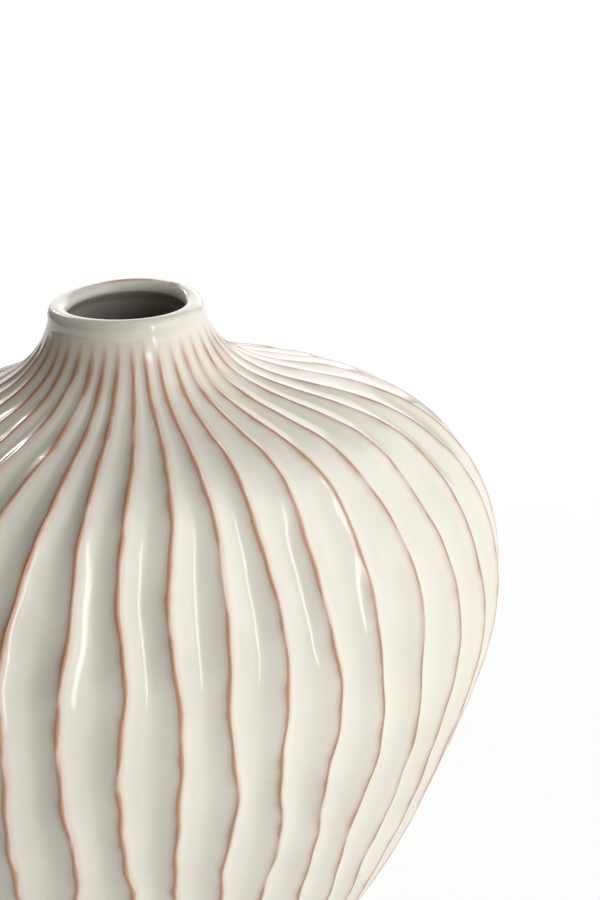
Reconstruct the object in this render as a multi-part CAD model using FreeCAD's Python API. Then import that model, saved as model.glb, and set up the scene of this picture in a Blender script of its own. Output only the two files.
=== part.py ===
import FreeCAD, Part
import math
import os

# A fluted oval vase: a flattened, high-shouldered body with a small round mouth.
# Millimetres, +Z up. The origin is the middle of the resting face, X is the long way
# of the oval and Y is its short way.

# Overall sizes, measured over the ridges
total_height = 265.0
body_length = 257.0
body_depth = 172.0
belly_height = 155.0
wall_thickness = 5.0

# Foot: an oval ring under an oval floor
foot_length = 98.0
foot_depth = 70.0
foot_ring_height = 4.0
foot_ring_width = 7.0
foot_ring_inset = 3.0
foot_ring_bevel = 0.8
floor_thickness = 7.0
floor_edge_bevel = 1.6

# Collar: the smooth round neck and its rolled lip
collar_height = 8.0
collar_base_radius = 25.0
neck_radius = 24.0
neck_waist_drop = 5.0
lip_crest_radius = 21.0
lip_crest_width = 0.6
lip_roll_drop = 3.0
mouth_radius = 17.9
mouth_edge_drop = 2.6

# Hollow flutes between sharp ridges, shallower where they crowd together and run out
# smooth under the collar and above the foot
flute_count = 37
flute_depth = 2.8
top_run_out = 8.0
foot_run_out = 14.0

# Where the ridges stand, as shares of the way round the oval from +X: wider apart near
# its two narrow ends, leaning a little on the way up and swaying by ridge_sway
first_ridge_share = 0.0104
spread_share = 0.095
widest_gap_share = -0.072
ridge_lean_share = 0.0124
ridge_sway = 1.2
sway_wave = 72.0
sway_step_share = 0.31

# How closely the straight-sided sections follow the curves, and how near to round an
# oval counts as a circle
round_share = 0.000001
outline_tolerance = 0.3
collar_tolerance = 0.06
flute_steps = 4
cavity_sides = 28
foot_sides = 36
collar_sides = 40

# Outline of the body below the belly. Each row has its share of the height from the
# floor to the belly and its share of the growth from the foot to the full oval.
lower_outline_shares = [
    (0.00, 0.000),
    (0.10, 0.170),
    (0.25, 0.390),
    (0.42, 0.600),
    (0.585, 0.755),
    (0.755, 0.893),
    (0.92, 0.985),
]

# Outline above the belly. Each row has its share of the height from the belly to the
# collar, and its shares of the growth from the collar to the full oval along X and Y.
upper_outline_shares = [
    (0.127, 0.997, 0.995),
    (0.334, 0.937, 0.929),
    (0.513, 0.818, 0.800),
    (0.649, 0.650, 0.691),
    (0.753, 0.421, 0.496),
    (0.825, 0.199, 0.244),
    (0.885, 0.088, 0.102),
    (0.941, 0.032, 0.040),
    (1.000, 0.000, 0.000),
]

# Planes where the sections of the vase meet
floor_z = foot_ring_height
wall_bottom_z = floor_z + floor_thickness
wall_top_z = total_height - collar_height

full_turn = 2.0 * math.pi
up = FreeCAD.Vector(0, 0, 1)


def oval_edge(half_length, half_depth, z):
    """An ellipse lying flat at height z with its long way along X."""
    centre = FreeCAD.Vector(0, 0, z)
    if math.isclose(half_length, half_depth, rel_tol=round_share):
        return Part.Circle(centre, up, half_length).toShape()
    long_end = FreeCAD.Vector(half_length, 0, z)
    short_end = FreeCAD.Vector(0, half_depth, z)
    return Part.Ellipse(long_end, short_end, centre).toShape()


def faceted_oval(half_length, half_depth, z, sides):
    """Straight sides that touch the same ellipse. Each side faces the same way whatever
    the size, so that faces between two such ovals are flat."""
    touches = []
    for side in range(sides + 1):
        turn = full_turn * side / sides
        facing = FreeCAD.Vector(body_depth * math.cos(turn), body_length * math.sin(turn), 0)
        facing.normalize()
        touches.append((facing, math.hypot(half_length * facing.x, half_depth * facing.y)))
    corners = []
    for (facing, reach), (next_facing, next_reach) in zip(touches, touches[1:]):
        corner = (facing * next_reach - next_facing * reach).cross(up) / facing.cross(next_facing).z
        corners.append(corner + up * z)
    return Part.makePolygon(corners, True)


def faceted_circle(radius, z, sides):
    """A circle as a closed line of short straight sides."""
    corners = oval_edge(radius, radius, z).discretize(Number=sides + 1)
    return Part.makePolygon(corners[:-1], True)


def between(low, high, share):
    """The value that lies the given share of the way from low to high."""
    return low + (high - low) * share


def outline_places():
    """Points whose X, Y and Z are the body's half length, half depth and height there,
    closer together where the outline bends more."""
    belly = FreeCAD.Vector(body_length / 2, body_depth / 2, 0)
    foot = FreeCAD.Vector(foot_length / 2, foot_depth / 2, 0)
    points = []
    for height_share, growth_share in lower_outline_shares:
        z = between(wall_bottom_z, belly_height, height_share)
        points.append(between(foot, belly, growth_share) + up * z)
    for height_share, length_share, depth_share in upper_outline_shares:
        half_length = between(collar_base_radius, belly.x, length_share)
        half_depth = between(collar_base_radius, belly.y, depth_share)
        z = between(belly_height, wall_top_z, height_share)
        points.append(FreeCAD.Vector(half_length, half_depth, z))
    outline = Part.BSplineCurve()
    outline.interpolate(points)
    return outline.toShape().discretize(Deflection=outline_tolerance)


def flute_depth_at(place, girth):
    """Depth of the hollows in one section, which fall with the space between ridges."""
    full_girth = oval_edge(body_length / 2, body_depth / 2, 0).Length
    from_top = min((wall_top_z - place.z) / top_run_out, 1.0)
    from_foot = min((place.z - wall_bottom_z) / foot_run_out, 1.0)
    return flute_depth * girth / full_girth * from_top * from_foot


def ridge_place_share(number, z):
    """How far round the oval one ridge stands at height z, before its sway."""
    even_share = number / flute_count + first_ridge_share
    wave = math.sin(2 * full_turn * (even_share - widest_gap_share)) / (2 * full_turn)
    drop_share = (wall_top_z - z) / (wall_top_z - wall_bottom_z)
    return even_share + spread_share * wave - ridge_lean_share * drop_share


def fluted_section(place):
    """One section of the carved outside: ridges round the oval, each swaying a little
    with height, and a hollow of a few straight steps between them."""
    oval = oval_edge(place.x, place.y, place.z)
    girth = oval.Length
    hollow = flute_depth_at(place, girth)
    sway = ridge_sway * hollow / flute_depth
    ridges = []
    for number in range(flute_count):
        phase = full_turn * (place.z / sway_wave + number * sway_step_share)
        ridges.append(ridge_place_share(number, place.z) * girth + sway * math.sin(phase))
    ridges.append(ridges[0] + girth)
    points = []
    for ridge, next_ridge in zip(ridges, ridges[1:]):
        for step in range(flute_steps):
            share = step / flute_steps
            parameter = oval.getParameterByLength(between(ridge, next_ridge, share) % girth)
            outward = oval.tangentAt(parameter).cross(up)
            depth = hollow * 4 * share * (1 - share)
            points.append(oval.valueAt(parameter) - outward * depth)
    return Part.makePolygon(points, True)


def cavity_section(place):
    """The plain oval inside one section, a wall's thickness behind the hollows."""
    girth = oval_edge(place.x, place.y, place.z).Length
    inset = wall_thickness + flute_depth_at(place, girth)
    return faceted_oval(place.x - inset, place.y - inset, place.z, cavity_sides)


def flat_sided_solid(sections):
    """A solid with a flat face between each two matching sides of its sections."""
    faces = [Part.Face(sections[0]), Part.Face(sections[-1])]
    for lower, upper in zip(sections, sections[1:]):
        low, high = ([vertex.Point for vertex in section.OrderedVertexes] for section in (lower, upper))
        for side in range(len(low)):
            corners = [low[side - 1], low[side], high[side], high[side - 1]]
            faces.append(Part.Face(Part.makePolygon(corners, True)))
    shell = Part.makeShell(faces)
    shell.sewShape()
    return Part.makeSolid(shell)


def make_fluted_shell(places):
    """The carved shell through the given places, open at both ends."""
    outside = Part.makeLoft([fluted_section(place) for place in places], True, True)
    inside = flat_sided_solid([cavity_section(place) for place in places])
    return outside.cut(inside)


def make_body():
    """The lower wall and the shoulder, two open bowls that meet at the widest section."""
    places = outline_places()
    widest = places.index(max(places, key=lambda place: place.x))
    return make_fluted_shell(places[:widest + 1]), make_fluted_shell(places[widest:])


def make_floor():
    """The oval slab that closes the bottom of the wall, with its lower edge bevelled."""
    bevel = min(floor_edge_bevel, floor_thickness / 2)
    levels = [(bevel, floor_z), (0, floor_z + bevel), (0, wall_bottom_z)]
    return flat_sided_solid([
        faceted_oval(foot_length / 2 - inset, foot_depth / 2 - inset, z, foot_sides)
        for inset, z in levels
    ])


def make_foot_ring():
    """The turned ring that the vase rests on, left bare of glaze."""
    bevel = min(foot_ring_bevel, foot_ring_width / 3, foot_ring_height / 2)
    half_length = foot_length / 2 - foot_ring_inset
    half_depth = foot_depth / 2 - foot_ring_inset
    disc = []
    hole = []
    for cut_back, z in ((bevel, 0), (0, bevel), (0, foot_ring_height)):
        disc.append(faceted_oval(half_length - cut_back, half_depth - cut_back, z, foot_sides))
        inset = foot_ring_width - cut_back
        hole.append(faceted_oval(half_length - inset, half_depth - inset, z, foot_sides))
    return flat_sided_solid(disc).cut(flat_sided_solid(hole))


def tangent_arc(start, heading, end):
    """The arc from start to end that leaves start along the heading."""
    chord = end - start
    along = chord / chord.Length
    side = heading - along * heading.dot(along)
    bulge = chord.Length / 2 * math.tan(heading.getAngle(chord) / 2)
    return Part.Arc(start, (start + end) / 2 + side.normalize() * bulge, end).toShape()


def make_rolled_collar():
    """The round neck: a flared outside, a rolled lip and an inside that opens downwards."""
    def at(radius, drop):
        return FreeCAD.Vector(radius, 0, total_height - drop)

    def turned(points):
        return flat_sided_solid([faceted_circle(point.x, point.z, collar_sides) for point in points])

    waist = at(neck_radius, neck_waist_drop)
    outer_crest = at(lip_crest_radius + lip_crest_width / 2, 0)
    inner_crest = at(lip_crest_radius - lip_crest_width / 2, 0)
    flare = tangent_arc(waist, -up, at(collar_base_radius, collar_height))
    outer_roll = tangent_arc(at(neck_radius, lip_roll_drop), up, outer_crest)
    inner_roll = tangent_arc(inner_crest, FreeCAD.Vector(-1, 0, 0), at(mouth_radius, mouth_edge_drop))
    flare_points, outer_points, inner_points = [
        curve.discretize(Deflection=collar_tolerance) for curve in (flare, outer_roll, inner_roll)
    ]
    outside = flare_points[::-1] + outer_points
    inside = [at(collar_base_radius - wall_thickness, collar_height)] + inner_points[::-1]
    return turned(outside).cut(turned(inside))


fluted_wall, fluted_shoulder = make_body()
pieces = {
    "fluted_wall": fluted_wall,
    "fluted_shoulder": fluted_shoulder,
    "rolled_collar": make_rolled_collar(),
    "floor_slab": make_floor(),
    "foot_ring": make_foot_ring(),
}

os.makedirs("parts", exist_ok=True)
for name, shape in pieces.items():
    shape.exportStep("parts/" + name + ".step")
    print(name, "solids", len(shape.Solids), "volume", round(shape.Volume))
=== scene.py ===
import math

import bpy
import numpy as np
from mathutils import Matrix, Vector


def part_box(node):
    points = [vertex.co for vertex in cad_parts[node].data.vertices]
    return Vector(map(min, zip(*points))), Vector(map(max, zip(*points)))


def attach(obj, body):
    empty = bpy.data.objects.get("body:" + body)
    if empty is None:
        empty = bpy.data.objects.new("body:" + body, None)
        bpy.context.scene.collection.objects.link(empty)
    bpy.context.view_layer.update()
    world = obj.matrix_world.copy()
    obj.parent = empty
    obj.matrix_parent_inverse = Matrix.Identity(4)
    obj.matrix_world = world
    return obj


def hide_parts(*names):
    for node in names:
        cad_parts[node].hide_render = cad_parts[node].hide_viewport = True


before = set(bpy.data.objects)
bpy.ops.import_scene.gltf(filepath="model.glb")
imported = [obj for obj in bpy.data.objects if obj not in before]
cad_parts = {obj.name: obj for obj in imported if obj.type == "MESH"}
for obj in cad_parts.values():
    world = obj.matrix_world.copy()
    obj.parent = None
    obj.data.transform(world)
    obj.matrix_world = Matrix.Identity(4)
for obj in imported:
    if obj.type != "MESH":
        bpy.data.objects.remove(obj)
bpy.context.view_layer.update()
mm = 0.001
fullTurn = 2 * math.pi
print("frame loaded:", ", ".join(sorted(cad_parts)))

# Corners of the CAD pieces' boxes, which the pieces below are fitted to
wallLow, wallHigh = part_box("fluted_wall")
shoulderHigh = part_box("fluted_shoulder")[1]
collarLow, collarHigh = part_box("rolled_collar")
floorLow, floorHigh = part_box("floor_slab")
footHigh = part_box("foot_ring")[1]


# Camera: the photograph's view, a long lens a little above and to the left
camera = {
    "lens": 72.0,  # millimetres, like the sensor
    "sensor": 36.0,
    "nearest": 0.01,  # metres, closer than anything here
    "lookDown": 22.12,  # degrees, like the next two
    "turnRight": 30.398,
    "roll": 1.177,
    "mouthAcross": 126.343,  # pixels from the left edge to the middle of the lip's crest
    "mouthDown": 299.497,  # and from the top edge
    "imageWidth": 600,
    "imageHeight": 900,
    "pixelsPerMetre": 3300.0,  # at the mouth
}


def makeCamera():
    down, turn, roll = (math.radians(camera[angle]) for angle in ("lookDown", "turnRight", "roll"))
    right = Vector((math.cos(turn), -math.sin(turn), 0))
    ahead = Vector((math.cos(down) * math.sin(turn), math.cos(down) * math.cos(turn), -math.sin(down)))
    upward = right.cross(ahead)
    across = camera["mouthAcross"] - camera["imageWidth"] / 2
    above = camera["imageHeight"] / 2 - camera["mouthDown"]
    level = across * math.cos(roll) + above * math.sin(roll)
    rise = above * math.cos(roll) - across * math.sin(roll)
    away = camera["imageHeight"] * camera["lens"] / camera["sensor"]
    offset = (right * level + upward * rise + ahead * away) / camera["pixelsPerMetre"]
    tiltedRight = right * math.cos(roll) - upward * math.sin(roll)
    tiltedUp = right * math.sin(roll) + upward * math.cos(roll)
    data = bpy.data.cameras.new("camera")
    data.lens, data.sensor_width, data.clip_start = camera["lens"], camera["sensor"], camera["nearest"]
    placed = bpy.data.objects.new("camera", data)
    bpy.context.collection.objects.link(placed)
    axes = Matrix((tiltedRight, tiltedUp, -ahead)).transposed()
    placed.matrix_world = Matrix.Translation(Vector((0, 0, collarHigh.z)) - offset) @ axes.to_4x4()
    bpy.context.scene.camera = placed
    return right, -Vector((ahead.x, ahead.y, 0)).normalized()


# level directions, from which the lights are placed
cameraRight, towardCamera = makeCamera()
print("camera placed")


# Materials
noiseSpan = (0.3, 0.7)  # what most of a noise texture lies between
smoothStep = {"interpolation_type": "SMOOTHSTEP"}
multiply = {"operation": "MULTIPLY"}


def toLinear(hexColour):
    # the sRGB curve, undone
    channels = [int(hexColour[i:i + 2], 16) / 255 for i in (1, 3, 5)]
    return tuple(c / 12.92 if c <= 0.04045 else ((c + 0.055) / 1.055) ** 2.4 for c in channels) + (1.0,)


def addNode(tree, kind, settings=None, **inputs):
    # inputs are socket names without spaces, or inN for the Nth socket
    node = tree.nodes.new("ShaderNode" + kind)
    for name, value in (settings or {}).items():
        setattr(node, name, value)
    named = {socket.name.replace(" ", ""): socket for socket in reversed(node.inputs)}
    for name, value in inputs.items():
        socket = node.inputs[int(name[2:])] if name[:2] == "in" else named[name]
        if isinstance(value, bpy.types.NodeSocket):
            tree.links.new(value, socket)
        else:
            socket.default_value = value
    return node


def newMaterial(name):
    material = bpy.data.materials.new(name)
    material.use_nodes = True
    material.node_tree.nodes.clear()
    return material, material.node_tree


# Stoneware under a half-clear cream glaze, dipped and fired. The glaze pools pale and
# faintly green in the hollows and runs thin off the ridges, where the iron in the clay
# burns through as a caramel line with a lilac edge. Line and edge are painted darker on the
# side away from the window, as painted shade, and so is the glaze in the throat and the
# cavity. Its surface is wet-looking, with a slow unevenness of a few millimetres and a
# fine one that roughens the edges of reflections.
glaze = {
    "pooled": "#E3E1D5",
    "thin": "#E9E3D8",
    "pooling": (0.5, 6.0),  # millimetres from a ridge between which thin glaze turns to pooled
    "cloudLength": 35 * mm,
    "cloudTones": (0.97, 1.02),
    "inside": "#B3AEA6",  # painted shade: a darker grey down in the throat and all over the inside, where little light reaches
    "caramel": "#CA9870",
    "burnt": "#996A4E",
    "umber": "#B98D70",  # painted shade: a darker copy of the line's clay, for a ridge's shaded side
    "lilacEdge": "#DCC8BD",
    "mauveEdge": "#CFBDB0",  # painted shade: a darker copy of the lilac edge, for a ridge's shaded side
    "lineHalfWidth": 0.64,  # millimetres either side of a ridge
    "lineFade": (0.35, 1.7),  # half widths between which the line fades out
    "edgeFadeStart": 0.8,  # half widths
    "litEdge": (4.6, 0.8),  # half widths to where it ends, and its strength
    "bothEdges": (4.0, 0.6),
    "shadedAfter": (0.4, 1.4),  # millimetres past the last ridge where a shaded side can start
    "shadedBefore": (3.0, 1.5),  # and before the next ridge, where it starts and is full
    "linePlay": 0.35,  # share by which a line's width wanders
    "wanderLength": 8 * mm,
    "patchLength": 16 * mm,  # of stretches where a line is weak or strong
    "patchRange": (0.30, 0.46),  # of the noise
    "weakest": 0.35,  # strength of a line in a weak patch
    "ior": 1.5,
    "roughness": 0.06,
    "lineRoughness": 0.15,
    "waveLength": 4 * mm,
    "waveHeight": 0.03 * mm,
    "peelLength": 1.3 * mm,
    "peelHeight": 0.006 * mm,
}


def makeGlaze():
    material, tree = newMaterial("creamGlaze")
    place = addNode(tree, "TexCoord").outputs["Object"]
    gap, after, carved, shaded = (
        addNode(tree, "Attribute", {"attribute_name": name}).outputs["Fac"]
        for name in ("ridgeGap", "ridgeAfter", "carved", "shaded")
    )
    wander, patches, clouds, waves, peel = (
        addNode(tree, "TexNoise", Vector=place, Scale=1 / glaze[length], Detail=detail).outputs["Fac"]
        for length, detail in (
            ("wanderLength", 2.0), ("patchLength", 1.0), ("cloudLength", 2.0), ("waveLength", 1.0),
            ("peelLength", 1.0),
        )
    )

    # the line's width wanders, so the distance is stretched by noise before it is read
    half = glaze["lineHalfWidth"]
    stretch = addNode(tree, "MapRange", in0=wander, in1=noiseSpan[0], in2=noiseSpan[1],
                      in3=1 + glaze["linePlay"], in4=1 - glaze["linePlay"]).outputs[0]
    reach = addNode(tree, "Math", multiply, in0=gap, in1=stretch).outputs[0]
    core = addNode(tree, "MapRange", smoothStep, in0=reach, in1=half * glaze["lineFade"][0],
                   in2=half * glaze["lineFade"][1], in3=1.0, in4=0.0).outputs[0]
    edges = [
        addNode(tree, "MapRange", smoothStep, in0=distance, in1=half * glaze["edgeFadeStart"],
                in2=half * end, in3=strength, in4=0.0).outputs[0]
        for distance, (end, strength) in ((after, glaze["litEdge"]), (reach, glaze["bothEdges"]))
    ]
    edge = addNode(tree, "Math", {"operation": "MAXIMUM"}, in0=edges[0], in1=edges[1]).outputs[0]
    present = addNode(tree, "MapRange", smoothStep, in0=patches, in1=glaze["patchRange"][0],
                      in2=glaze["patchRange"][1], in3=glaze["weakest"], in4=1.0).outputs[0]
    lineShare = addNode(tree, "Math", multiply, in0=present, in1=carved).outputs[0]
    coreShown = addNode(tree, "Math", multiply, in0=core, in1=lineShare).outputs[0]
    edgeShown = addNode(tree, "Math", multiply, in0=edge, in1=carved).outputs[0]

    # just before a ridge, where the last one is well past, is that ridge's shaded side, where the line and
    # its edge are painted darker as painted shade
    past = addNode(tree, "MapRange", in0=after, in1=glaze["shadedAfter"][0],
                   in2=glaze["shadedAfter"][1]).outputs[0]
    shadedSide = addNode(tree, "MapRange", in0=gap, in1=glaze["shadedBefore"][0],
                         in2=glaze["shadedBefore"][1], in3=0.0, in4=past).outputs[0]
    litClay = addNode(tree, "MixRGB", in0=wander, in1=toLinear(glaze["burnt"]),
                      in2=toLinear(glaze["caramel"]))
    # painted shade: on the shaded side the line and its edge take their darker copies
    clay = addNode(tree, "MixRGB", in0=shadedSide, in1=litClay.outputs[0], in2=toLinear(glaze["umber"]))
    edgeColour = addNode(tree, "MixRGB", in0=shadedSide, in1=toLinear(glaze["lilacEdge"]),
                         in2=toLinear(glaze["mauveEdge"]))

    pooled = addNode(tree, "MapRange", smoothStep, in0=gap, in1=glaze["pooling"][0],
                     in2=glaze["pooling"][1]).outputs[0]
    cream = addNode(tree, "MixRGB", in0=pooled, in1=toLinear(glaze["thin"]), in2=toLinear(glaze["pooled"]))
    tone = addNode(tree, "MapRange", in0=clouds, in1=noiseSpan[0], in2=noiseSpan[1],
                   in3=glaze["cloudTones"][0], in4=glaze["cloudTones"][1]).outputs[0]
    toned = addNode(tree, "VectorMath", {"operation": "SCALE"}, in0=cream.outputs[0], Scale=tone)
    # painted shade: the throat and the whole inside take the darker inside colour
    insideShaded = addNode(tree, "MixRGB", in0=shaded, in1=toned.outputs[0], in2=toLinear(glaze["inside"]))
    edged = addNode(tree, "MixRGB", in0=edgeShown, in1=insideShaded.outputs[0], in2=edgeColour.outputs[0])
    colour = addNode(tree, "MixRGB", in0=coreShown, in1=edged.outputs[0], in2=clay.outputs[0])
    sheen = addNode(tree, "MapRange", in0=coreShown, in3=glaze["roughness"], in4=glaze["lineRoughness"])

    slow = addNode(tree, "Bump", Strength=1.0, Distance=glaze["waveHeight"], Height=waves).outputs[0]
    bump = addNode(tree, "Bump", Strength=1.0, Distance=glaze["peelHeight"], Height=peel, Normal=slow)
    surface = addNode(tree, "BsdfPrincipled", BaseColor=colour.outputs[0], Roughness=sheen.outputs[0],
                      IOR=glaze["ior"], Normal=bump.outputs[0])
    addNode(tree, "OutputMaterial", Surface=surface.outputs[0])
    return material


# Bare stoneware: fired clay, wiped clean of glaze so that it doesn't stick to the kiln.
# It looks dry and toasted, with fine dark grog.
clayBody = {
    "light": "#B9926C",
    "dark": "#97704D",
    "blushLength": 20 * mm,
    "speck": "#5E4431",
    "speckRange": (0.62, 0.7),  # of the noise
    "grog": 1.2 * mm,  # size of a grain
    "grogDepth": 0.15 * mm,
    "roughness": 0.85,
}


def makeStoneware():
    material, tree = newMaterial("bareStoneware")
    place = addNode(tree, "TexCoord").outputs["Object"]
    blush, grog = (
        addNode(tree, "TexNoise", Vector=place, Scale=1 / clayBody[length], Detail=detail).outputs["Fac"]
        for length, detail in (("blushLength", 3.0), ("grog", 4.0))
    )
    specks = addNode(tree, "MapRange", in0=grog, in1=clayBody["speckRange"][0],
                     in2=clayBody["speckRange"][1]).outputs[0]
    clay = addNode(tree, "MixRGB", in0=blush, in1=toLinear(clayBody["dark"]),
                   in2=toLinear(clayBody["light"]))
    colour = addNode(tree, "MixRGB", in0=specks, in1=clay.outputs[0], in2=toLinear(clayBody["speck"]))
    bump = addNode(tree, "Bump", Strength=1.0, Distance=clayBody["grogDepth"], Height=grog).outputs[0]
    surface = addNode(tree, "BsdfPrincipled", BaseColor=colour.outputs[0], Roughness=clayBody["roughness"],
                      Normal=bump)
    addNode(tree, "OutputMaterial", Surface=surface.outputs[0])
    return material


creamGlaze = makeGlaze()
bareStoneware = makeStoneware()
print("materials made")


# The body's outline from foot to collar. Below the belly each row has its share of the
# height and of the growth from the foot to the full oval. Above it, the share of the
# height and of the growth from the collar, the long way and the short way.
lowerOutlineShares = [
    (0.00, 0.000),
    (0.10, 0.170),
    (0.25, 0.390),
    (0.42, 0.600),
    (0.585, 0.755),
    (0.755, 0.893),
    (0.92, 0.985),
]
upperOutlineShares = [
    (0.127, 0.997, 0.995),
    (0.334, 0.937, 0.929),
    (0.513, 0.818, 0.800),
    (0.649, 0.650, 0.691),
    (0.753, 0.421, 0.496),
    (0.825, 0.199, 0.244),
    (0.885, 0.088, 0.102),
    (0.941, 0.032, 0.040),
    (1.000, 0.000, 0.000),
]

body = {
    "bellyShare": 0.585,  # of the wall's height, where the oval is full
    "wall": 5.0 * mm,
    "rowStep": 1.3 * mm,  # between rows of the mesh, along the outline
    "insideEvery": 5,  # the inside has one row for so many outside
    "columnsPerFlute": 18,
    "girthSteps": 1440,  # round an oval, to measure along it
}

collar = {
    "waistDrop": 5 * mm,  # below the lip, like the other drops
    "waistTopDrop": 3.75 * mm,  # to where the rolled lip begins
    "waistRadius": 24 * mm,
    "rollDrop": 3.2 * mm,
    "crestRadius": 21 * mm,
    "mouthRadius": 17.9 * mm,
    "mouthDrop": 2.8 * mm,
    "edgeThickness": 0.5 * mm,
    "throatRadius": 19.5 * mm,
    "throatDrop": 6 * mm,
    "rollSteps": 12,  # in each half of the roll
    "throatSteps": 4,  # from the mouth's edge to the throat, and again to the collar's base
    "play": 0.35 * mm,  # how far the hand-thrown lip strays
    "riseWaves": [(2, -2.09, 1.0), (1, 0.52, 1.0)],  # how many round the lip, phase and share
    "outWaves": [(3, 2.0, 1.0), (2, 0.0, 0.6)],
    "bareIn": 0.7 * mm,  # inward from the crest's top, to where the glaze has run thin
    "bareStretches": [(1.1, 0.5), (0.3, 0.14)],  # middle and reach, in radians
}

flutes = {
    "count": 37,
    "depth": 2.9 * mm,  # of a hollow where it is widest
    "fadeWithWidth": 1.6,  # power by which narrow hollows are shallower than wide ones
    # across a hollow, from its left ridge: a short steep drop, a gentle slope and then
    # a curve that climbs to the next ridge, all as shares of its width and depth
    "dropReachShare": 0.035,
    "slopeStart": 2.2,
    "slopeEnd": 0.35,
    "slopeEndShare": 0.45,
    "skew": 0.55,  # how much more the slope leans on one side of the vase
    "skewMiddle": 3.5,  # radians round from +X
    "ridgeRounding": 0.45 * mm,
    "depthWaves": [(65 * mm, 0.10), (30 * mm, 0.05)],  # length, and share of the depth
    "topDrop": 4.5 * mm,  # below the lip, where the last trace of the flutes ends
    "topRunOut": 11 * mm,
    "footRunOut": 14 * mm,
    # where the ridges stand, as shares of the way round the oval from +X: wider apart near
    # its narrow ends, leaning a little on the way up, and swaying
    "firstRidgeShare": 0.0104,
    "spreadShare": 0.095,
    "widestGapShare": -0.072,
    "leanShare": 0.0124,
    "sway": 1.2 * mm,
    "swayWave": 72 * mm,
    "swayStepShare": 0.31,  # of a wave, from one ridge to the next
    "strokes": [(46 * mm, 0.80 * mm), (21 * mm, 0.40 * mm)],  # length and height of finer waves
    "calmShare": 0.25,  # of the strokes' height at the neck
    "pace": (0.82, 1.18),  # how far a wave's length strays
    "ripple": 0.06 * mm,  # hand-made unevenness inside the hollows
    "rippleWave": 16 * mm,
    "rippleStray": (0.7, 1.3),
    "rippleCount": 24,
    "seed": 7,
}
random = np.random.default_rng(flutes["seed"])


def smoothThrough(places, step, stops):
    # points about one step apart on a natural cubic curve, one array for each stretch
    # between two of the places numbered in stops
    places = np.array(places, float)
    knots = np.concatenate([[0], np.cumsum(np.linalg.norm(np.diff(places, axis=0), axis=1))])
    gap = np.diff(knots)
    count = len(knots)
    system, target = np.eye(count), np.zeros_like(places)
    for i in range(1, count - 1):
        system[i, i - 1:i + 2] = gap[i - 1], 2 * (gap[i - 1] + gap[i]), gap[i]
        target[i] = 6 * ((places[i + 1] - places[i]) / gap[i] - (places[i] - places[i - 1]) / gap[i - 1])
    bend = np.linalg.solve(system, target)
    stretches = []
    for start, end in zip(stops, stops[1:]):
        length = knots[end] - knots[start]
        at = knots[start] + length * np.linspace(0, 1, int(length / step) + 2)
        span = np.clip(np.searchsorted(knots, at, side="right") - 1, 0, count - 2)
        width = gap[span][:, None]
        after = (at - knots[span])[:, None]
        before = width - after
        stretches.append(
            (bend[span] * before ** 3 + bend[span + 1] * after ** 3) / (6 * width)
            + (places[span] / width - bend[span] * width / 6) * before
            + (places[span + 1] / width - bend[span + 1] * width / 6) * after
        )
    return stretches


def outlineRows():
    # half length, half depth and height of each row: the wall, then the collar up to its waist
    low, high = wallLow.z, shoulderHigh.z
    belly = Vector(((wallHigh.x - wallLow.x) / 2, (wallHigh.y - wallLow.y) / 2))
    foot = Vector((floorHigh.x, floorHigh.y))
    bellyHeight = low + (high - low) * body["bellyShare"]
    places = []
    for heightShare, growthShare in lowerOutlineShares:
        places.append((*foot.lerp(belly, growthShare), low + (bellyHeight - low) * heightShare))
    for heightShare, lengthShare, depthShare in upperOutlineShares:
        places.append((
            collarHigh.x + (belly.x - collarHigh.x) * lengthShare,
            collarHigh.x + (belly.y - collarHigh.x) * depthShare,
            bellyHeight + (high - bellyHeight) * heightShare,
        ))
    waist = collar["waistRadius"]
    places.append((waist, waist, collarHigh.z - collar["waistDrop"]))
    return smoothThrough(places, body["rowStep"], [0, len(places) - 2, len(places) - 1])


def lipRows():
    # from the waist over the rolled lip, round its inner edge and down through the throat
    top = collarHigh.z
    waist, crest, mouth = collar["waistRadius"], collar["crestRadius"], collar["mouthRadius"]
    steps = np.linspace(0, math.pi / 2, collar["rollSteps"])
    rows = [(waist, top - collar["waistTopDrop"])]
    for turn in steps:
        radius = crest + (waist - crest) * math.cos(turn)
        rows.append((radius, top - collar["rollDrop"] * (1 - math.sin(turn))))
    for turn in steps[1:]:
        radius = crest - (crest - mouth) * math.sin(turn)
        rows.append((radius, top - collar["mouthDrop"] * (1 - math.cos(turn))))
    edge = np.array((mouth, top - collar["mouthDrop"] - collar["edgeThickness"]))
    throat = np.array((collar["throatRadius"], top - collar["throatDrop"]))
    base = np.array((collarHigh.x - body["wall"], collarLow.z))
    for start, end in ((edge, throat), (throat, base)):
        for share in np.linspace(0, 1, collar["throatSteps"], endpoint=False):
            rows.append(start * (1 - share) + end * share)
    rows.append(base)
    return np.array([(radius, radius, z) for radius, z in rows])


wallRows, neckRows = outlineRows()
outerRows = np.concatenate([wallRows, neckRows[1:], lipRows()])
wallCount = len(wallRows)
neckEnd = wallCount + len(neckRows) - 1
throatCount = 2 * collar["throatSteps"] + 1  # the last rows, inside the mouth's edge
alongRows = np.concatenate([[0], np.cumsum(np.linalg.norm(np.diff(outerRows, axis=0), axis=1))])


def smoothRamp(value):
    value = np.clip(value, 0, 1)
    return value * value * (3 - 2 * value)


def waves(kinds):
    # a wandering line down each flute: one column for each, seeded sines of each kind
    total = np.zeros((len(alongRows), flutes["count"]))
    for length, height in kinds:
        phase = random.uniform(0, fullTurn, flutes["count"])
        pace = random.uniform(*flutes["pace"], flutes["count"])
        total += height * np.sin(fullTurn * alongRows[:, None] / length * pace + phase)
    return total


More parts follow.
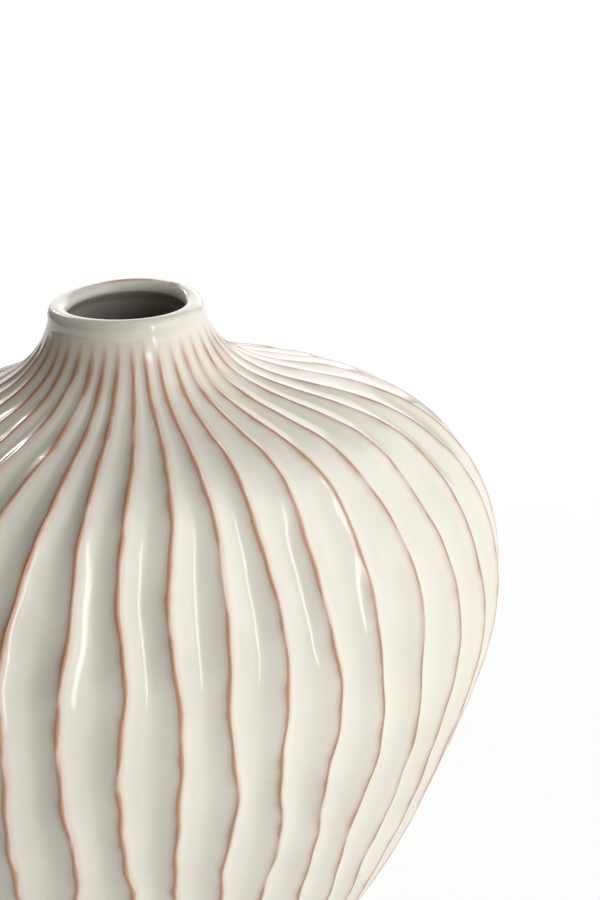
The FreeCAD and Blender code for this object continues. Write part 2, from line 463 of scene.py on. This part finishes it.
def ridgeShares(z, hollow, girth):
    # share of the way round the oval from +X at which each ridge stands, row by row
    numbers = np.arange(flutes["count"])
    even = numbers / flutes["count"] + flutes["firstRidgeShare"]
    spread = np.sin(2 * fullTurn * (even - flutes["widestGapShare"])) / (2 * fullTurn)
    drop = (shoulderHigh.z - z) / (shoulderHigh.z - wallLow.z)
    lean = flutes["leanShare"] * np.maximum(drop, 0)
    phase = fullTurn * (z[:, None] / flutes["swayWave"] + numbers * flutes["swayStepShare"])
    sway = flutes["sway"] * np.sin(phase)
    # the carver's hand sways more towards the foot, where the cuts are long
    looseness = flutes["calmShare"] + (1 - flutes["calmShare"]) * smoothRamp(drop)
    strokes = waves(flutes["strokes"]) * looseness[:, None]
    shift = (sway + strokes) * hollow[:, None]
    shares = even + flutes["spreadShare"] * spread - lean[:, None] + shift / girth[:, None]
    return np.concatenate([shares, shares[:, :1] + 1], axis=1)


def girthRuns(rows):
    # how far round each oval it is to each angle
    turn = np.linspace(0, fullTurn, body["girthSteps"] + 1)
    steps = np.hypot(rows[:, :1] * np.diff(np.cos(turn)), rows[:, 1:2] * np.diff(np.sin(turn)))
    return turn, np.concatenate([np.zeros((len(rows), 1)), np.cumsum(steps, axis=1)], axis=1)


def anglesAt(rows, shares):
    turn, runs = girthRuns(rows)
    return np.array([np.interp(share % 1 * run[-1], run, turn) for share, run in zip(shares, runs)])


def ovalPoints(rows, angles):
    heights = np.repeat(rows[:, 2:], angles.shape[1], 1)
    return np.stack([rows[:, :1] * np.cos(angles), rows[:, 1:2] * np.sin(angles), heights], axis=2)


def surfaceNormals(points):
    across = np.roll(points, -1, axis=1) - np.roll(points, 1, axis=1)
    along = np.gradient(points, axis=0)
    normals = np.cross(across, along)
    return normals / np.linalg.norm(normals, axis=2, keepdims=True)


def hollowDepths(step, leftGap, rightGap, width):
    # depth across each hollow as a share of its deepest, rounded over at both ridges: a
    # steep drop and an easing slope, then a curve that meets it and climbs to the next
    # ridge
    rounding = flutes["ridgeRounding"]
    fromLeft, fromRight = (
        (np.sqrt(gap * gap + rounding ** 2) - rounding) / width for gap in (leftGap, rightGap)
    )
    end = flutes["slopeEndShare"]
    middle = fullTurn * np.arange(flutes["count"])[None, :, None] / flutes["count"]
    skew = flutes["skew"] * np.cos(middle - flutes["skewMiddle"])
    steep, gentle = flutes["slopeStart"] + skew, flutes["slopeEnd"] + skew
    drop = 1 - (steep + gentle) / 2 * end
    left = drop * (1 - np.exp(-fromLeft / flutes["dropReachShare"]))
    left += fromLeft * (steep - (steep - gentle) / (2 * end) * fromLeft)
    climb = 1 - end
    bend = (1 + gentle * climb) / climb ** 2
    right = fromRight * (2 * bend * climb - gentle - bend * fromRight)
    return np.where(step < end, left, right)


def handRipple(points):
    # slow unevenness in all directions, from seeded sines
    ripple = np.zeros(points.shape[:2])
    for _ in range(flutes["rippleCount"]):
        direction = random.normal(size=3)
        pace = fullTurn / flutes["rippleWave"] * random.uniform(*flutes["rippleStray"])
        direction *= pace / np.linalg.norm(direction)
        ripple += np.sin(points @ direction + random.uniform(0, fullTurn))
    return ripple * flutes["ripple"] / math.sqrt(flutes["rippleCount"] / 2)


def markBareCrest(angles, gap, after, shown):
    # the glaze has run thin on stretches of the lip's crest too, so they are marked as
    # ridges are
    lip = slice(neckEnd, None)
    crest = neckEnd + int(np.argmax(outerRows[lip, 2]))
    fromCrest = np.abs(alongRows - alongRows[crest] - collar["bareIn"])[lip, None]
    gap[lip], after[lip] = fromCrest, fromCrest
    for middle, reach in collar["bareStretches"]:
        off = np.abs((angles[lip] - middle + math.pi) % fullTurn - math.pi)
        shown[lip] = np.maximum(shown[lip], smoothRamp(2 * (1 - off / reach)))


def carvedSkin():
    rows = outerRows
    z = rows[:, 2]
    girth = girthRuns(rows)[1][:, -1]
    fromFoot = smoothRamp((z - wallLow.z) / flutes["footRunOut"])
    fromTop = smoothRamp((collarHigh.z - flutes["topDrop"] - z) / flutes["topRunOut"])
    fade = np.where(np.arange(len(rows)) < neckEnd, fromFoot * fromTop, 0.0)
    hollow = fade * girth / girth.max()
    ridges = ridgeShares(z, hollow, girth)

    # the columns crowd at the ridges, where the surface turns fastest
    per = body["columnsPerFlute"]
    step = (1 - np.cos(math.pi * np.arange(per) / per)) / 2
    between = np.diff(ridges, axis=1)[:, :, None]
    columns = (ridges[:, :-1, None] + between * step).reshape(len(rows), -1)
    angles = anglesAt(rows, columns)
    smooth = ovalPoints(rows, angles)

    width = between * girth[:, None, None]
    leftGap, rightGap = width * step, width * (1 - step)
    play = 1 + waves(flutes["depthWaves"])[:, :, None]
    deep = (fade * (girth / girth.max()) ** flutes["fadeWithWidth"])[:, None, None]
    depth = flutes["depth"] * deep * hollowDepths(step, leftGap, rightGap, width) * play
    proud = handRipple(smooth) * fade[:, None] - depth.reshape(len(rows), -1)
    carved = smooth + surfaceNormals(smooth) * proud[:, :, None]

    # the lip rises, dips and wanders out a little
    lift = collar["play"] * smoothRamp((z - collarLow.z) / (collarHigh.z - collarLow.z))[:, None]
    rise, out = (
        sum(share * np.cos(number * angles + phase) for number, phase, share in collar[kind])
        for kind in ("riseWaves", "outWaves")
    )
    carved[:, :, 2] += lift * rise
    carved[:, :, :2] *= (1 - lift / rows[:, :1] * out)[:, :, None]

    gap = np.minimum(leftGap, rightGap).reshape(len(rows), -1)
    after = leftGap.reshape(len(rows), -1)
    shown = np.repeat(fade[:, None], columns.shape[1], 1)
    markBareCrest(angles, gap, after, shown)
    return carved, gap, after, shown, columns, hollow


skin, ridgeGap, ridgeAfter, carvedShare, columnShares, hollows = carvedSkin()
# painted shade: the throat's rows are marked for the darker inside colour, as is the whole cavity
throatShare = np.zeros_like(carvedShare)
throatShare[-throatCount:] = 1.0
print("skin:", skin.shape[0], "rows of", skin.shape[1])


def insideRows():
    # the cavity's rows from the collar's base down to the floor, a wall's thickness in
    picked = np.unique([*range(0, wallCount, body["insideEvery"]), wallCount - 1])[::-1]
    rows = wallRows[picked].copy()
    runOut = np.minimum((shoulderHigh.z - rows[:, 2]) / flutes["topRunOut"], 1)
    inset = body["wall"] + flutes["depth"] * hollows[picked] * runOut
    rows[:, :2] -= inset[:, None]
    return ovalPoints(rows, anglesAt(rows, columnShares[picked]))


# The outside and the inside are one run of rows, so that the shading has no seam
inside = insideRows()
skinNormals, insideNormals = np.split(surfaceNormals(np.concatenate([skin, inside[1:]])), [len(skin)])
insideNormals = np.concatenate([skinNormals[-1:], insideNormals])


def finishPiece(name, vertices, faces, material, nodes):
    mesh = bpy.data.meshes.new(name)
    mesh.from_pydata(vertices, [], faces)
    mesh.polygons.foreach_set("use_smooth", [True] * len(mesh.polygons))
    mesh.materials.append(material)
    piece = bpy.data.objects.new(name, mesh)
    bpy.context.collection.objects.link(piece)
    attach(piece, "root")
    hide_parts(*nodes)
    return piece


def addFact(piece, name, values):
    # one number for each point, for the glaze to read
    piece.data.attributes.new(name, "FLOAT", "POINT").data.foreach_set("value", values)


def ringFaces(rowCount, columns):
    # rows joined to the next and the last back to the first, each row a closed ring
    row = np.arange(rowCount)[:, None]
    column = np.arange(columns)[None, :]
    after, beyond = (row + 1) % rowCount, (column + 1) % columns
    corners = [(row, column), (row, beyond), (after, beyond), (after, column)]
    return np.stack([r * columns + c for r, c in corners], axis=2).reshape(-1, 4)


farFromRidges = 20.0  # millimetres, plain pooled glaze


def glazedShell(name, span, innerPoints, innerNormals, nodes):
    # the span's outside rows, then inside rows, with flat rims where a section ends
    points = np.concatenate([skin[span], innerPoints])
    normals = np.concatenate([skinNormals[span], innerNormals])
    rowCount, columns = points.shape[:2]
    outerCount, innerSize = len(skin[span]), len(innerPoints) * columns
    faces = ringFaces(rowCount, columns)
    vertices = points.reshape(-1, 3).tolist()
    piece = finishPiece(name, vertices, faces.tolist(), creamGlaze, nodes)
    facts = {
        "ridgeGap": (ridgeGap / mm, farFromRidges),
        "ridgeAfter": (ridgeAfter / mm, farFromRidges),
        "carved": (carvedShare, 0.0),
        "shaded": (throatShare, 1.0),
    }
    for fact, (outerValues, innerValue) in facts.items():
        addFact(piece, fact, np.concatenate([outerValues[span].ravel(), np.full(innerSize, innerValue)]))
    corners = normals.reshape(-1, 3)[faces.ravel()].reshape(rowCount, columns, 4, 3)
    corners[-1] = (0, 0, -1)
    if innerSize:
        corners[outerCount - 1] = (0, 0, 1)
    piece.data.normals_split_custom_set(corners.reshape(-1, 3).tolist())


glazedShell("carved_body", slice(0, wallCount), inside, insideNormals, ["fluted_wall", "fluted_shoulder"])
noRows = np.zeros((0, skin.shape[1], 3))
glazedShell("rolled_lip", slice(wallCount - 1, None), noRows, noRows, ["rolled_collar"])
print("body and lip made")


# The floor closes the bottom. The foot ring under it is turned with rounded edges.
bottom = {
    "floorBevel": 1.6 * mm,
    "underInsets": (0.5, 0.25),  # of the floor's inner rings, as shares of its half depth
    "topInsets": (0.15, 0.5),
    "ringWidth": 7.0 * mm,
    "ringRounding": 0.9 * mm,
    "roundSteps": 5,
    "ringColumns": 240,
    "sharpAngle": 40,  # degrees between faces, above which an edge stays crisp
}


def ovalRings(halfLength, halfDepth, rings, angles):
    points = []
    for inset, z in rings:
        x, y = (halfLength - inset) * np.cos(angles), (halfDepth - inset) * np.sin(angles)
        points.append(np.stack([x, y, np.full(len(angles), z)], 1))
    return np.concatenate(points).tolist()


def roundedEdge(radius, z):
    # inset and height of each step, from flat underneath to upright
    steps = np.linspace(0, math.pi / 2, bottom["roundSteps"])
    return [(radius * (1 - math.sin(turn)), z + radius * (1 - math.cos(turn))) for turn in steps]


def makeFloor():
    # its columns stand under the wall's, and both its flat sides are closed
    angles = np.arctan2(skin[0, :, 1] / floorHigh.y, skin[0, :, 0] / floorHigh.x)
    rings = [(inset * floorHigh.y, floorLow.z) for inset in bottom["underInsets"]]
    rings += roundedEdge(bottom["floorBevel"], floorLow.z)
    rings += [(0, (floorLow.z + floorHigh.z) / 2), (0, floorHigh.z)]
    rings += [(inset * floorHigh.y, floorHigh.z) for inset in bottom["topInsets"]]
    points = ovalRings(floorHigh.x, floorHigh.y, rings, angles)
    columns = len(angles)
    faces = ringFaces(len(rings), columns)[:-columns].tolist()
    faces.append(list(range(columns))[::-1])
    faces.append(list(range(len(points) - columns, len(points))))
    floor = finishPiece("vase_floor", points, faces, creamGlaze, ["floor_slab"])
    for fact in ("ridgeGap", "ridgeAfter"):
        addFact(floor, fact, [farFromRidges] * len(points))
    floor.data.set_sharp_from_angle(angle=math.radians(bottom["sharpAngle"]))


def makeFootRing():
    angles = np.linspace(0, fullTurn, bottom["ringColumns"], endpoint=False)
    outer = roundedEdge(bottom["ringRounding"], 0) + [(0, footHigh.z)]
    inner = [(bottom["ringWidth"] - inset, z) for inset, z in outer[::-1]]
    points = ovalRings(footHigh.x, footHigh.y, outer + inner, angles)
    faces = ringFaces(len(outer + inner), len(angles)).tolist()
    ring = finishPiece("bare_foot", points, faces, bareStoneware, ["foot_ring"])
    ring.data.set_sharp_from_angle(angle=math.radians(bottom["sharpAngle"]))


makeFloor()
makeFootRing()
print("floor and foot made")


# Studio: a pale floor that runs out to white and a tall soft window on the right. The
# window's bright near edge draws the long streaks in the glaze, and a narrow light behind
# on the left the short ones. The rest is weaker soft light from above, behind and far
# right, and a low fill for what a floor throws back.
studio = {
    "floorColour": "#F3F2EF",
    "floorRadius": 6.0,
    "floorSides": 96,
    "shadowReach": (0.2, 0.6),  # metres from the vase over which the floor turns pure white
    "shadowShare": 0.08,  # how much of the lit floor, with its shadow, shows beside the vase
    "glow": 0.10,  # strength of the surroundings on the object
    "glowColour": "#FFF7E8",
    "aim": 0.165,  # height that the lights face
    "softEdge": 0.22,  # share of each light's width and height over which it fades out
    "lights": {  # degrees right of the camera, degrees up, metres away, width, height, strength
        "windowLight": (62, 20, 1.6, 2.2, 1.5, 2.0),
        "windowEdgeLight": (40, 8, 0.75, 0.085, 0.75, 5.8),
        "upperWindowLight": (62, 52, 1.6, 1.7, 0.8, 0.9),
        "lowFillLight": (50, -6, 0.9, 1.2, 0.15, 3.4),
        "farRightLight": (115, 17, 1.6, 1.5, 1.4, 1.05),
        "topLight": (0, 89, 1.6, 1.7, 1.7, 0.75),
        "backLight": (180, 22, 1.6, 2.4, 1.3, 2.2),
        "leftEdgeLight": (-150, 29, 1.6, 0.05, 0.6, 24.0),
    },
    "unmirrored": ["lowFillLight"],  # a real floor wouldn't show as a bright bar in the glaze
}


def fadeEdges(data):
    # the light's strength falls off towards its edges, as light from a curtained window
    # does; Parametric runs from 0 to 1 across it, both ways
    data.use_nodes = True
    tree = data.node_tree
    tree.nodes.clear()
    across = addNode(tree, "SeparateXYZ", Vector=addNode(tree, "NewGeometry").outputs["Parametric"]).outputs
    fades = []
    for side in (across["X"], across["Y"]):
        middle = addNode(tree, "Math", {"operation": "SUBTRACT"}, in0=side, in1=0.5).outputs[0]
        reach = addNode(tree, "Math", {"operation": "ABSOLUTE"}, in0=middle).outputs[0]
        fades.append(addNode(tree, "MapRange", smoothStep, in0=reach, in1=0.5 - studio["softEdge"],
                             in2=0.5, in3=1.0, in4=0.0).outputs[0])
    fade = addNode(tree, "Math", multiply, in0=fades[0], in1=fades[1]).outputs[0]
    glow = addNode(tree, "Emission", Strength=fade).outputs[0]
    addNode(tree, "OutputLight", Surface=glow)


def makeLight(name, right, up, away, width, height, strength):
    data = bpy.data.lights.new(name, "AREA")
    data.shape, data.size, data.size_y = "RECTANGLE", width, height
    data.energy = strength * math.pi * width * height
    fadeEdges(data)
    light = bpy.data.objects.new(name, data)
    bpy.context.collection.objects.link(light)
    turn, rise = math.radians(right), math.radians(up)
    level = towardCamera * math.cos(turn) + cameraRight * math.sin(turn)
    direction = level * math.cos(rise) + Vector((0, 0, math.sin(rise)))
    light.location = Vector((0, 0, studio["aim"])) + direction * away
    light.rotation_euler = direction.to_track_quat("Z", "Y").to_euler()
    light.visible_camera = False
    light.visible_glossy = name not in studio["unmirrored"]


def makeSurroundings():
    # the camera sees white, and the object gets a weak warm glow
    world = bpy.data.worlds.new("whiteStudio")
    bpy.context.scene.world = world
    world.use_nodes = True
    tree = world.node_tree
    tree.nodes.clear()
    seen = addNode(tree, "LightPath").outputs["Is Camera Ray"]
    strength = addNode(tree, "MapRange", in0=seen, in3=studio["glow"], in4=1.0).outputs[0]
    colour = addNode(tree, "MixRGB", in0=seen, in1=toLinear(studio["glowColour"]), in2=(1, 1, 1, 1))
    sky = addNode(tree, "Background", Color=colour.outputs[0], Strength=strength)
    addNode(tree, "OutputWorld", Surface=sky.outputs[0])


def makeStudioFloor():
    # a lit, matt floor mixed with white, so that it keeps a little of the shadow
    material, tree = newMaterial("paleFloor")
    ray = addNode(tree, "LightPath").outputs
    seen = addNode(tree, "Math", {"operation": "MAXIMUM"}, in0=ray["Is Camera Ray"],
                   in1=ray["Is Glossy Ray"]).outputs[0]
    place = addNode(tree, "TexCoord").outputs["Object"]
    away = addNode(tree, "VectorMath", {"operation": "LENGTH"}, in0=place).outputs["Value"]
    near, far = studio["shadowReach"]
    share = addNode(tree, "MapRange", smoothStep, in0=away, in1=near, in2=far,
                    in3=1 - studio["shadowShare"], in4=1.0).outputs[0]
    mostly = addNode(tree, "Math", multiply, in0=seen, in1=share).outputs[0]
    paint = addNode(tree, "BsdfDiffuse", Color=toLinear(studio["floorColour"])).outputs[0]
    white = addNode(tree, "Emission", Color=(1, 1, 1, 1), Strength=1.0).outputs[0]
    surface = addNode(tree, "MixShader", in0=mostly, in1=paint, in2=white).outputs[0]
    addNode(tree, "OutputMaterial", Surface=surface)

    radius, sides = studio["floorRadius"], studio["floorSides"]
    angles = np.arange(sides) * fullTurn / sides
    points = [(radius * math.cos(a), radius * math.sin(a), 0.0) for a in angles]
    mesh = bpy.data.meshes.new("studioFloor")
    mesh.from_pydata(points, [], [list(range(sides))])
    mesh.materials.append(material)
    floor = bpy.data.objects.new("studioFloor", mesh)
    bpy.context.collection.objects.link(floor)


makeSurroundings()
makeStudioFloor()
for lightName, facts in studio["lights"].items():
    makeLight(lightName, *facts)
bpy.context.scene.view_settings.view_transform = "Standard"
print("studio made")
